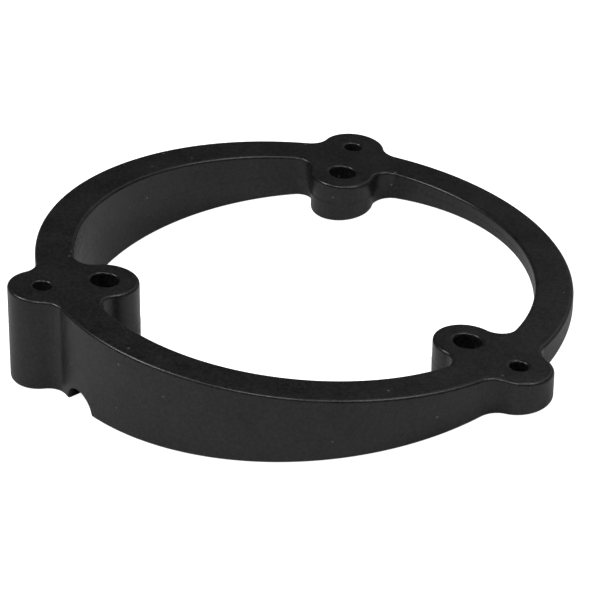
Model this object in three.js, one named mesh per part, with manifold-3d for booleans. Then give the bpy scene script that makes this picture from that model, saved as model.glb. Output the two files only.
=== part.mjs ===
// Tapered mounting ring with three lobes, moulded in one piece.
// Millimetres, +Z up. The base face lies on z = 0 and the thick side points along -X.
// The walls and the holes share one axis, which leans half the wedge angle from each face,
// so that the base and the top face are mirror images about the middle of the ring.

import * as THREE from 'three';
import { mergeVertices } from 'three/addons/utils/BufferGeometryUtils.js';
import Module from 'manifold-3d';

const wasm = await Module();
wasm.setup();

const { degToRad } = THREE.MathUtils;

// Ring wall
const outerRadius = 90;
const innerRadius = 77;
const middleHeight = 18.8; // along the wall axis, at the centre of the ring
const wedgeAngle = degToRad(9);

// Each lobe is an ear outside the wall and a boss inside it, with a hole through each
const lobeAngles = [60, 180, 300].map(degToRad);
const ear = { centreRadius: 91, radius: 11, fillet: 7, holeCircle: 90.5, holeRadius: 3.05 };
const boss = { centreRadius: 69, radius: 11, fillet: 6, holeCircle: 69.5, holeRadius: 4.7 };

// Cable notch: a round channel under the wall, beside the thick lobe
const notchAngle = degToRad(196.6);
const notchRadius = 7.4;
const notchAxisDepth = 0.6; // below the base face
const notchSegments = 60;

// Broken edges, and how closely facets follow a curve
const edgeBreak = 0.5;
const chordError = 0.03;

const halfWedge = wedgeAngle / 2;
const slope = Math.tan(halfWedge);

function polar(radius, angle) {
  return new THREE.Vector2(radius * Math.cos(angle), radius * Math.sin(angle));
}

// Points along an arc, counter-clockwise when `to` is larger than `from`.
function arc(centre, radius, from, to) {
  const largestStep = 2 * Math.acos(1 - chordError / radius);
  const steps = Math.ceil(Math.abs(to - from) / largestStep);
  return Array.from({ length: steps + 1 }, (_, i) => (
    polar(radius, from + ((to - from) * i) / steps).add(centre)
  ));
}

// The same direction as `angle`, within half a turn of `reference`.
function near(angle, reference) {
  const turn = 2 * Math.PI;
  return angle - turn * Math.round((angle - reference) / turn);
}

// Closed outline from points that run on from arc to arc, without the shared ones.
function closed(points) {
  return points.filter((point, i) => point.distanceTo(points.at(i - 1)) > 1e-6);
}

// Wall circle with a rounded lobe at each lobe angle. `side` is 1 for ears that stand out
// from the outer wall and -1 for bosses that stand in from the inner wall.
function lobedCircle(wallRadius, lobe, side) {
  const filletCircle = wallRadius + side * lobe.fillet;
  const reach = lobe.radius + lobe.fillet;
  const spread = Math.acos((filletCircle ** 2 + lobe.centreRadius ** 2 - reach ** 2)
    / (2 * filletCircle * lobe.centreRadius)); // from a lobe's centre line to its fillets
  const pitch = (2 * Math.PI) / lobeAngles.length;
  const quarter = (side * Math.PI) / 2;

  return closed(lobeAngles.flatMap((angle) => {
    const centre = polar(lobe.centreRadius, angle);
    const [enter, leave] = [angle - spread, angle + spread].map((at) => {
      const middle = polar(filletCircle, at);
      const towardsWall = at + (side > 0 ? Math.PI : 0);
      return { at, middle, towardsWall, towardsLobe: centre.clone().sub(middle).angle() };
    });
    const tip = angle + (side > 0 ? 0 : Math.PI);
    return [
      ...arc(enter.middle, lobe.fillet, enter.towardsWall,
        near(enter.towardsLobe, enter.towardsWall - quarter)),
      ...arc(centre, lobe.radius, near(enter.towardsLobe + Math.PI, tip),
        near(leave.towardsLobe + Math.PI, tip)),
      ...arc(leave.middle, lobe.fillet, near(leave.towardsLobe, leave.towardsWall + quarter),
        leave.towardsWall),
      ...arc(polar(0, 0), wallRadius, leave.at, enter.at + pitch),
    ];
  }));
}

function hole(angle, { holeCircle, holeRadius }) {
  return new THREE.Path(closed(arc(polar(holeCircle, angle), holeRadius, 0, 2 * Math.PI)));
}

// Blank of even height with its edges broken, centred on the wall axis.
function blank() {
  const shape = new THREE.Shape(lobedCircle(outerRadius, ear, 1));
  shape.holes = [
    new THREE.Path(lobedCircle(innerRadius, boss, -1)),
    ...lobeAngles.flatMap((angle) => [hole(angle, ear), hole(angle, boss)]),
  ];
  const geometry = new THREE.ExtrudeGeometry(shape, {
    depth: middleHeight - 2 * edgeBreak,
    bevelThickness: edgeBreak,
    bevelSize: edgeBreak,
    bevelOffset: -edgeBreak,
    bevelSegments: 1,
  });
  return geometry.translate(0, 0, edgeBreak - middleHeight / 2);
}

// Tips the top of the blank down towards +X and its base up.
function taper(geometry) {
  const position = geometry.getAttribute('position');
  for (let i = 0; i < position.count; i += 1) {
    const z = position.getZ(i);
    position.setZ(i, z - Math.sign(z) * slope * position.getX(i));
  }
  return geometry;
}

// Round bar that runs out through the wall, its axis just below the tipped base face.
function notchBar() {
  const length = 3 * (outerRadius - innerRadius);
  return new THREE.CylinderGeometry(notchRadius, notchRadius, length, notchSegments)
    .rotateZ(-Math.PI / 2)
    .translate((outerRadius + innerRadius) / 2, 0, -notchAxisDepth)
    .rotateZ(notchAngle)
    .rotateY(-halfWedge)
    .translate(0, 0, -middleHeight / 2);
}

function toSolid(geometry) {
  const bare = geometry.clone();
  bare.deleteAttribute('normal');
  bare.deleteAttribute('uv');
  const merged = mergeVertices(bare);
  return new wasm.Manifold(new wasm.Mesh({
    numProp: 3,
    vertProperties: new Float32Array(merged.getAttribute('position').array),
    triVerts: new Uint32Array(merged.getIndex().array),
  }));
}

function toGeometry(solid) {
  const { vertProperties, triVerts } = solid.getMesh();
  const geometry = new THREE.BufferGeometry();
  geometry.setAttribute('position', new THREE.BufferAttribute(vertProperties, 3));
  geometry.setIndex(new THREE.BufferAttribute(triVerts, 1));
  geometry.computeVertexNormals();
  return geometry;
}

const mouldedPlastic = new THREE.MeshStandardMaterial({
  name: 'moulded_plastic',
  color: 0x1c1c1d,
  roughness: 0.5,
  metalness: 0,
});

const notched = toSolid(taper(blank())).subtract(toSolid(notchBar()));
const ring = new THREE.Mesh(toGeometry(notched), mouldedPlastic);
ring.name = 'wedge_ring';
ring.rotation.y = halfWedge; // lays the base face level

// Origin: the middle of the part's bounding box, on the base face
const bounds = new THREE.Box3().setFromObject(ring, true);
const middle = bounds.getCenter(new THREE.Vector3());
ring.position.set(-middle.x, -middle.y, -bounds.min.z);

const part = new THREE.Group();
part.add(ring);

export default part;
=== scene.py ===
import math
import bpy
from mathutils import Matrix, Vector


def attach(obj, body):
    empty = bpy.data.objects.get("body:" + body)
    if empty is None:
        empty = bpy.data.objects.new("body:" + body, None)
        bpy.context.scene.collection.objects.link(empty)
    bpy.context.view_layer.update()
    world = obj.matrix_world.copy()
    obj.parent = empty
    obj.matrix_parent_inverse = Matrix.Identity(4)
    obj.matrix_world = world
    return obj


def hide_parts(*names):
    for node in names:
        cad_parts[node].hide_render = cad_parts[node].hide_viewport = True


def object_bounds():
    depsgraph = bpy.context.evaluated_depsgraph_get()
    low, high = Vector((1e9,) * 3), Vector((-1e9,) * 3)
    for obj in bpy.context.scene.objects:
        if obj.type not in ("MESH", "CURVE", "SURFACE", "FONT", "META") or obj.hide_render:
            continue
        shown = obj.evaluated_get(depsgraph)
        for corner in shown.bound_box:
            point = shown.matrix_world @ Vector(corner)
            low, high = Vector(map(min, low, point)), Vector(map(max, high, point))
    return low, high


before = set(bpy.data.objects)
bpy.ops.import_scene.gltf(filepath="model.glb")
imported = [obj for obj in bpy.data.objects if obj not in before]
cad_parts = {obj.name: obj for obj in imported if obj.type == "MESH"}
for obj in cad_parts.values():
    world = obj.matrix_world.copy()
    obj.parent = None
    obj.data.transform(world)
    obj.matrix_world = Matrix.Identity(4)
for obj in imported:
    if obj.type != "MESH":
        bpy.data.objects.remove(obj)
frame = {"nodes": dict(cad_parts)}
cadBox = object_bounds()
print("loaded", ", ".join(frame["nodes"]))


# lengths are in metres; the ring is modelled about its wall axis, with its middle plane
# at z = 0, and laid on its base when it is finished
ring = {
    "outerRadius": 0.090,
    "innerRadius": 0.077,
    "middleHeight": 0.0188,  # along the wall axis
    "lean": math.radians(4.5),  # of the wall axis, from the base's normal and from the top's
    "axisFoot": Vector((0.005837, 0, 0)),  # where the wall axis meets the base
    "lobeAngles": [math.radians(60), math.radians(180), math.radians(300)],
    "ear": {
        "centreRadius": 0.091,
        "radius": 0.011,
        "fillet": 0.007,
        "holeCircle": 0.0905,
        "holeRadius": 0.00305,
    },
    "boss": {
        "centreRadius": 0.069,
        "radius": 0.011,
        "fillet": 0.006,
        "holeCircle": 0.0695,
        "holeRadius": 0.0047,
    },
    "partingLine": {"halfWidth": 0.0004, "relief": 0.00010},  # where the two mould cores met
    "edgeRound": 0.0011,
    "holeEdgeRound": 0.0008,
    "edgeSegments": 4,
    "notch": {
        "angle": math.radians(196.6),
        "radius": 0.0074,
        "axisDepth": 0.0006,  # of the cutting bar's axis below the base
        "segments": 144,
        "straightLength": 0.0122,  # of the bar, which then flares to ease the notch's edges
        "flare": [  # steps of (length, radius reached)
            (0.00022, 0.0074),
            (0.00018, 0.0075),
            (0.00016, 0.0077),
            (0.00014, 0.0080),
            (0.00400, 0.0082),
        ],
    },
    "blankHeight": 0.050,  # of the walls, before both ends are cut to the wedge
    "chordError": 0.000004,  # how closely facets follow an arc
    "land": 0.0014,  # neat strip of faces inside every edge of the base and the top
    "seedSize": 0.001,  # of a plane that is shrunk to a point
    "mergeDistance": 0.00001,
    "onPlane": 0.000002,  # a point this near a plane counts as on it
    "margin": 0.0002,  # added to a radius when points are picked by their place
    "roundedFrom": math.radians(50),  # edges sharper than this are rounded
    "smoothUpTo": math.radians(40),  # edges blunter than this are shaded smooth
}


def polar(radius, angle, z=0.0):
    return Vector((radius * math.cos(angle), radius * math.sin(angle), z))


def cornerAngle(one, other, opposite):  # of a triangle, between the first two sides
    return math.acos((one ** 2 + other ** 2 - opposite ** 2) / (2 * one * other))


def stepsFor(radius, turn):
    largest = 2 * math.acos(1 - ring["chordError"] / radius)
    return math.ceil(abs(turn) / largest)


def sweep(centre, radius, turn):  # carries the selected end point round an arc
    bpy.ops.mesh.spin(steps=stepsFor(radius, turn), angle=turn, center=centre, axis=(0, 0, -1))


def traceLobedCircle(wallRadius, lobe, side, z):  # side is 1 for ears outside, -1 for bosses inside
    toFillet = wallRadius + side * lobe["fillet"]
    reach = lobe["radius"] + lobe["fillet"]
    halfSpan = cornerAngle(toFillet, lobe["centreRadius"], reach)
    atFillet = cornerAngle(toFillet, reach, lobe["centreRadius"])
    atLobe = cornerAngle(lobe["centreRadius"], reach, toFillet)
    filletTurn = -atFillet if side > 0 else math.pi - atFillet
    lobeTurn = 2 * math.pi - 2 * atLobe if side > 0 else -2 * atLobe
    wallTurn = 2 * math.pi / len(ring["lobeAngles"]) - 2 * halfSpan
    start = polar(wallRadius, ring["lobeAngles"][0] - halfSpan, z)
    bpy.ops.mesh.select_all(action="DESELECT")
    bpy.ops.mesh.primitive_plane_add(size=ring["seedSize"], location=start)
    bpy.ops.mesh.merge(type="CENTER")
    for angle in ring["lobeAngles"]:
        sweep(polar(toFillet, angle - halfSpan, z), lobe["fillet"], filletTurn)
        sweep(polar(lobe["centreRadius"], angle, z), lobe["radius"], lobeTurn)
        sweep(polar(toFillet, angle + halfSpan, z), lobe["fillet"], filletTurn)
        sweep(Vector((0, 0, z)), wallRadius, wallTurn)


def drawPlan(z):
    traceLobedCircle(ring["outerRadius"], ring["ear"], 1, z)
    traceLobedCircle(ring["innerRadius"], ring["boss"], -1, z)
    for lobe in (ring["ear"], ring["boss"]):
        for angle in ring["lobeAngles"]:
            bpy.ops.mesh.select_all(action="DESELECT")
            bpy.ops.mesh.primitive_circle_add(
                vertices=stepsFor(lobe["holeRadius"], 2 * math.pi),
                radius=lobe["holeRadius"],
                location=polar(lobe["holeCircle"], angle, z),
            )
    bpy.ops.mesh.select_all(action="SELECT")
    bpy.ops.mesh.remove_doubles(threshold=ring["mergeDistance"])


def makeActive(obj):
    bpy.ops.object.select_all(action="DESELECT")
    obj.select_set(True)
    bpy.context.view_layer.objects.active = obj


def selectWhere(obj, kind, test):  # kind is vertices, edges or polygons
    bpy.ops.mesh.select_mode(type={"vertices": "VERT", "edges": "EDGE", "polygons": "FACE"}[kind])
    bpy.ops.mesh.select_all(action="DESELECT")
    bpy.ops.object.mode_set(mode="OBJECT")
    for item in getattr(obj.data, kind):
        item.select = test(item)
    bpy.ops.object.mode_set(mode="EDIT")


def endsOf(obj, edge):
    return [obj.data.vertices[index].co for index in edge.vertices]


def looksAlong(polygon, direction):
    return polygon.normal.dot(direction) > 0.9999  # within a degree


def isUpright(polygon):
    return abs(polygon.normal.z) < 0.1


def endPlane(side):  # side is 1 for the top and -1 for the base: a point on it and its outward normal
    normal = Vector((math.sin(ring["lean"]), 0, side * math.cos(ring["lean"])))
    return Vector((0, 0, side * ring["middleHeight"] / 2)), normal


def cutEnd(obj, side):
    point, normal = endPlane(side)
    bpy.ops.mesh.select_all(action="SELECT")
    bpy.ops.mesh.bisect(plane_co=point, plane_no=normal, clear_outer=True)
    selectWhere(obj, "vertices", lambda v: abs((v.co - point).dot(normal)) < ring["onPlane"])
    bpy.ops.mesh.fill(use_beauty=True)


def isAtHole(place, lobe):
    return any(
        (place.xy - polar(lobe["holeCircle"], angle).xy).length < lobe["holeRadius"] + ring["margin"]
        for angle in ring["lobeAngles"]
    )


def isInnerWall(place):
    return place.xy.length < ring["innerRadius"] + ring["margin"] and not isAtHole(place, ring["boss"])


def isAtHeight(place, z):
    return abs(place.z - z) < ring["onPlane"]


def raisePartingLine(obj):  # the inner wall comes out to it from the base, and steps back above it
    half = ring["partingLine"]["halfWidth"]
    for z in (-half, half):
        selectWhere(obj, "polygons", lambda p: isInnerWall(p.center) and isUpright(p))
        bpy.ops.mesh.bisect(plane_co=(0, 0, z), plane_no=(0, 0, 1))
    selectWhere(obj, "vertices", lambda v: isInnerWall(v.co) and isAtHeight(v.co, -half))
    bpy.ops.transform.shrink_fatten(value=ring["partingLine"]["relief"])


def makeWedgeRing():
    bpy.ops.object.select_all(action="DESELECT")
    bpy.ops.mesh.primitive_plane_add(size=ring["seedSize"])
    obj = bpy.context.object
    obj.name = "wedgeRing"
    bpy.ops.object.mode_set(mode="EDIT")
    bpy.ops.mesh.delete(type="VERT")
    drawPlan(-ring["blankHeight"] / 2)
    bpy.ops.mesh.extrude_region_move(TRANSFORM_OT_translate={"value": (0, 0, ring["blankHeight"])})
    for side in (1, -1):
        cutEnd(obj, side)
    bpy.ops.mesh.select_all(action="SELECT")
    bpy.ops.mesh.normals_make_consistent(inside=False)
    raisePartingLine(obj)
    bpy.ops.object.mode_set(mode="OBJECT")
    print("walls and ends cut,", len(obj.data.polygons), "faces")
    return obj


def isRimOfHole(obj, edge):
    ends = endsOf(obj, edge)
    run = ends[1] - ends[0]
    if abs(run.z) > run.xy.length:  # it goes down the hole, not round it
        return False
    return any(all(isAtHole(end, lobe) for end in ends) for lobe in (ring["ear"], ring["boss"]))


def bevelEdges(width):
    bpy.ops.mesh.bevel(offset=width, segments=ring["edgeSegments"], affect="EDGES", clamp_overlap=False)


def roundEdges(obj):
    bpy.ops.object.mode_set(mode="EDIT")
    for side in (1, -1):
        normal = endPlane(side)[1]
        selectWhere(obj, "polygons", lambda p: looksAlong(p, normal))
        bpy.ops.mesh.inset(thickness=ring["land"], use_even_offset=True)
    selectWhere(obj, "edges", lambda e: isRimOfHole(obj, e))
    bevelEdges(ring["holeEdgeRound"])
    bpy.ops.mesh.select_all(action="DESELECT")
    bpy.ops.mesh.edges_select_sharp(sharpness=ring["roundedFrom"])
    bevelEdges(ring["edgeRound"])
    bpy.ops.object.mode_set(mode="OBJECT")
    print("edges rounded,", len(obj.data.polygons), "faces")


def modify(obj, name, kind, **settings):
    makeActive(obj)
    modifier = obj.modifiers.new(name, kind)
    for setting, value in settings.items():
        setattr(modifier, setting, value)
    bpy.ops.object.modifier_apply(modifier=name)


def makeNotchBar():  # a round bar with both ends flared
    notch = ring["notch"]
    bpy.ops.object.select_all(action="DESELECT")
    bpy.ops.mesh.primitive_cylinder_add(
        vertices=notch["segments"], radius=notch["radius"], depth=notch["straightLength"]
    )
    bar = bpy.context.object
    bpy.ops.object.mode_set(mode="EDIT")
    for side in (1, -1):
        outward = Vector((0, 0, side))
        end = side * notch["straightLength"] / 2
        reached = notch["radius"]
        for length, radius in notch["flare"]:
            selectWhere(bar, "polygons", lambda p: len(p.vertices) > 4 and looksAlong(p, outward))
            end += side * length
            grow = radius / reached
            reached = radius
            bpy.ops.mesh.extrude_region_move(TRANSFORM_OT_translate={"value": outward * length})
            bpy.ops.transform.resize(value=(grow, grow, 1), center_override=(0, 0, end))
    bpy.ops.object.mode_set(mode="OBJECT")
    return bar


def cutNotch(obj):  # with the bar lying across the wall, along the base
    bar = makeNotchBar()
    wallMiddle = (ring["outerRadius"] + ring["innerRadius"]) / 2
    lowered = Vector((wallMiddle, 0, -ring["notch"]["axisDepth"]))
    toBase = Matrix.Translation((0, 0, -ring["middleHeight"] / 2)) @ Matrix.Rotation(-ring["lean"], 4, "Y")
    toWall = Matrix.Rotation(ring["notch"]["angle"], 4, "Z") @ Matrix.Translation(lowered)
    bar.matrix_world = toBase @ toWall @ Matrix.Rotation(math.radians(90), 4, "Y")
    modify(obj, "notch", "BOOLEAN", operation="DIFFERENCE", object=bar, solver="EXACT")
    bpy.data.objects.remove(bar, do_unlink=True)
    print("notch cut,", len(obj.data.polygons), "faces")


def isOnPartingLine(obj, edge):
    ends = endsOf(obj, edge)
    half = ring["partingLine"]["halfWidth"]
    level = any(all(isAtHeight(end, z) for end in ends) for z in (-half, half))
    return level and all(isInnerWall(end) for end in ends)


def shadeSmooth(obj):  # with the parting line left crisp
    makeActive(obj)
    bpy.ops.object.shade_smooth_by_angle(angle=ring["smoothUpTo"])
    bpy.ops.object.mode_set(mode="EDIT")
    selectWhere(obj, "edges", lambda e: isOnPartingLine(obj, e))
    bpy.ops.mesh.mark_sharp()
    bpy.ops.object.mode_set(mode="OBJECT")
    modify(obj, "evenShading", "WEIGHTED_NORMAL", weight=100, keep_sharp=True)


def layOnBase(obj):  # turns the wall axis to its lean and puts the base on the floor
    lean = ring["lean"]
    toMiddle = Vector((math.sin(lean), 0, math.cos(lean))) * ring["middleHeight"] / 2
    makeActive(obj)
    obj.matrix_world = Matrix.Translation(ring["axisFoot"] + toMiddle) @ Matrix.Rotation(lean, 4, "Y")
    bpy.ops.object.transform_apply(location=True, rotation=True, scale=True)


wedgeRing = makeWedgeRing()
roundEdges(wedgeRing)
cutNotch(wedgeRing)
shadeSmooth(wedgeRing)
layOnBase(wedgeRing)
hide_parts("wedge_ring")
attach(wedgeRing, "root")
print("wedge ring laid on its base")


plastic = {
    "darkColour": (0.0020, 0.0020, 0.0021, 1),
    "lightColour": (0.0190, 0.0190, 0.0192, 1),
    "clouds": {"size": 0.014, "detail": 3.0, "low": 0.30, "high": 0.70, "share": 0.4},
    "speckle": {"size": 0.0011, "detail": 2.0, "low": 0.35, "high": 0.65, "share": 0.6},
    "roughness": (0.27, 0.34),
    "mottle": {"size": 0.004, "detail": 3.0, "low": 0.30, "high": 0.70},  # of the roughness
    "grain": {"size": 0.0007, "detail": 2.0, "depth": 0.000045},  # the mould's fine spark texture
    "swell": {"size": 0.007, "detail": 1.0, "depth": 0.00003},  # slow unevenness left by shrinkage
    "dustColour": (0.100, 0.100, 0.097, 1),
    "dustSpacing": 0.0085,
    "dustRadius": 0.06,  # as a share of the spacing
    "dustCore": 0.6,  # as a share of the radius
    "refraction": 1.5,
}


def addNode(tree, kind, inputs=None, **settings):
    node = tree.nodes.new(kind)
    for name, value in settings.items():
        setattr(node, name, value)
    for name, value in (inputs or {}).items():
        node.inputs[name].default_value = value
    return node


def remap(tree, source, fromLow, fromHigh, toLow, toHigh):
    limits = {"From Min": fromLow, "From Max": fromHigh, "To Min": toLow, "To Max": toHigh}
    node = addNode(tree, "ShaderNodeMapRange", limits)
    tree.links.new(source, node.inputs["Value"])
    return node.outputs["Result"]


def makeMouldedPlastic():
    material = bpy.data.materials.new("mouldedPlastic")
    material.use_nodes = True
    tree = material.node_tree
    link = tree.links.new
    shader = tree.nodes["Principled BSDF"]
    shader.inputs["IOR"].default_value = plastic["refraction"]
    place = addNode(tree, "ShaderNodeTexCoord").outputs["Object"]

    def noise(pattern):
        settings = {"Scale": 1 / pattern["size"], "Detail": pattern["detail"]}
        node = addNode(tree, "ShaderNodeTexNoise", settings)
        link(place, node.inputs["Vector"])
        return node.outputs["Fac"]

    def noiseBetween(pattern, low, high):
        return remap(tree, noise(pattern), pattern["low"], pattern["high"], low, high)

    clouds = addNode(tree, "ShaderNodeMath", operation="ADD")
    for slot, pattern in enumerate((plastic["clouds"], plastic["speckle"])):
        link(noiseBetween(pattern, 0.0, pattern["share"]), clouds.inputs[slot])
    colour = addNode(tree, "ShaderNodeMix", data_type="RGBA")
    colour.inputs["A"].default_value = plastic["darkColour"]
    colour.inputs["B"].default_value = plastic["lightColour"]
    link(clouds.outputs["Value"], colour.inputs["Factor"])

    cells = addNode(tree, "ShaderNodeTexVoronoi", {"Scale": 1 / plastic["dustSpacing"]})
    link(place, cells.inputs["Vector"])
    rim = plastic["dustRadius"]
    dust = remap(tree, cells.outputs["Distance"], rim, rim * plastic["dustCore"], 0.0, 1.0)
    dusty = addNode(tree, "ShaderNodeMix", data_type="RGBA")
    dusty.inputs["B"].default_value = plastic["dustColour"]
    link(dust, dusty.inputs["Factor"])
    link(colour.outputs["Result"], dusty.inputs["A"])
    link(dusty.outputs["Result"], shader.inputs["Base Color"])

    link(noiseBetween(plastic["mottle"], *plastic["roughness"]), shader.inputs["Roughness"])

    swell = addNode(tree, "ShaderNodeBump", {"Strength": 1.0, "Distance": plastic["swell"]["depth"]})
    link(noise(plastic["swell"]), swell.inputs["Height"])
    grain = addNode(tree, "ShaderNodeBump", {"Strength": 1.0, "Distance": plastic["grain"]["depth"]})
    link(noise(plastic["grain"]), grain.inputs["Height"])
    link(swell.outputs["Normal"], grain.inputs["Normal"])
    link(grain.outputs["Normal"], shader.inputs["Normal"])
    return material


wedgeRing.data.materials.clear()
wedgeRing.data.materials.append(makeMouldedPlastic())
print("moulded plastic ready")


studio = {
    "floorSize": 6.0,
    "floorColour": (0.90, 0.90, 0.90, 1),
    "floorGlow": 0.95,  # a softly lit white floor, so the ring throws hardly any shadow
    "tableColour": (0.63, 0.63, 0.63, 1),  # what the ring's walls mirror in place of the glowing floor
    "groundRoughness": 0.9,
    "groundSpecular": 0.1,
    "floorDrop": 0.0001,  # below the base, and the table as far again below the floor
    "worldColour": (0.055, 0.055, 0.055, 1),
}
lights = {  # size in metres, power in watts, and the way round and up from the ring
    "leftLight": {"size": (0.35, 0.6), "power": 7.0, "azimuth": -100, "elevation": 52, "distance": 1.3},
    "frontLight": {"size": (0.5, 0.35), "power": 4.2, "azimuth": -25, "elevation": 58, "distance": 1.3},
    "rightLight": {"size": (0.7, 0.7), "power": 4.9, "azimuth": 60, "elevation": 58, "distance": 1.3},
    "backRightLight": {"size": (0.8, 0.8), "power": 0.8, "azimuth": 122, "elevation": 36, "distance": 1.3},
}
camera = {
    "lens": 192.6,
    "sensorWidth": 36,
    "target": Vector((0.003603, -0.002966, 0.006129)),
    "distance": 1.07675,
    "azimuth": -16.67,
    "elevation": 32.03,
    "roll": -4.35,
}


def towards(azimuth, elevation):  # azimuth 0 is on the -Y side, elevation is above the floor
    a, e = math.radians(azimuth), math.radians(elevation)
    return Vector((math.sin(a) * math.cos(e), -math.cos(a) * math.cos(e), math.sin(e)))


def facing(direction, roll=0.0):  # turns a light or camera that stands that way to look at the ring
    turned = direction.to_track_quat("Z", "Y").to_matrix().to_4x4()
    return turned @ Matrix.Rotation(math.radians(roll), 4, "Z")


def makeGround(name, height, colour, glow):
    bpy.ops.object.select_all(action="DESELECT")
    bpy.ops.mesh.primitive_plane_add(size=studio["floorSize"], location=(0, 0, height))
    ground = bpy.context.object
    ground.name = name
    material = bpy.data.materials.new(name)
    material.use_nodes = True
    shader = material.node_tree.nodes["Principled BSDF"]
    shader.inputs["Base Color"].default_value = colour
    shader.inputs["Roughness"].default_value = studio["groundRoughness"]
    shader.inputs["Specular IOR Level"].default_value = studio["groundSpecular"]
    shader.inputs["Emission Color"].default_value = (1, 1, 1, 1)
    shader.inputs["Emission Strength"].default_value = glow
    ground.data.materials.append(material)
    return ground


def makeFloor():  # the camera sees only the white floor, and the ring mirrors only the grey table
    height = cadBox[0].z - studio["floorDrop"]
    floor = makeGround("whiteFloor", height, studio["floorColour"], studio["floorGlow"])
    floor.visible_glossy = False
    floor.visible_diffuse = False
    floor.visible_shadow = False
    table = makeGround("greyTable", height - studio["floorDrop"], studio["tableColour"], 0.0)
    table.visible_camera = False


def makeLight(name, values):
    direction = towards(values["azimuth"], values["elevation"])
    place = direction * values["distance"]
    bpy.ops.object.light_add(type="AREA", location=place)
    lamp = bpy.context.object
    lamp.name = name
    lamp.data.shape = "RECTANGLE"
    lamp.data.size, lamp.data.size_y = values["size"]
    lamp.data.energy = values["power"]
    lamp.matrix_world = Matrix.Translation(place) @ facing(direction)


def makeCamera():
    direction = towards(camera["azimuth"], camera["elevation"])
    place = camera["target"] + direction * camera["distance"]
    bpy.ops.object.camera_add()
    viewer = bpy.context.object
    viewer.name = "viewer"
    viewer.data.lens = camera["lens"]
    viewer.data.sensor_width = camera["sensorWidth"]
    viewer.matrix_world = Matrix.Translation(place) @ facing(direction, camera["roll"])
    bpy.context.scene.camera = viewer


def makeRoom():
    world = bpy.data.worlds.new("softRoom")
    world.use_nodes = True
    world.node_tree.nodes["Background"].inputs["Color"].default_value = studio["worldColour"]
    bpy.context.scene.world = world
    bpy.context.scene.view_settings.view_transform = "Standard"


makeFloor()
for name, values in lights.items():
    makeLight(name, values)
makeRoom()
makeCamera()
print("studio and camera ready")
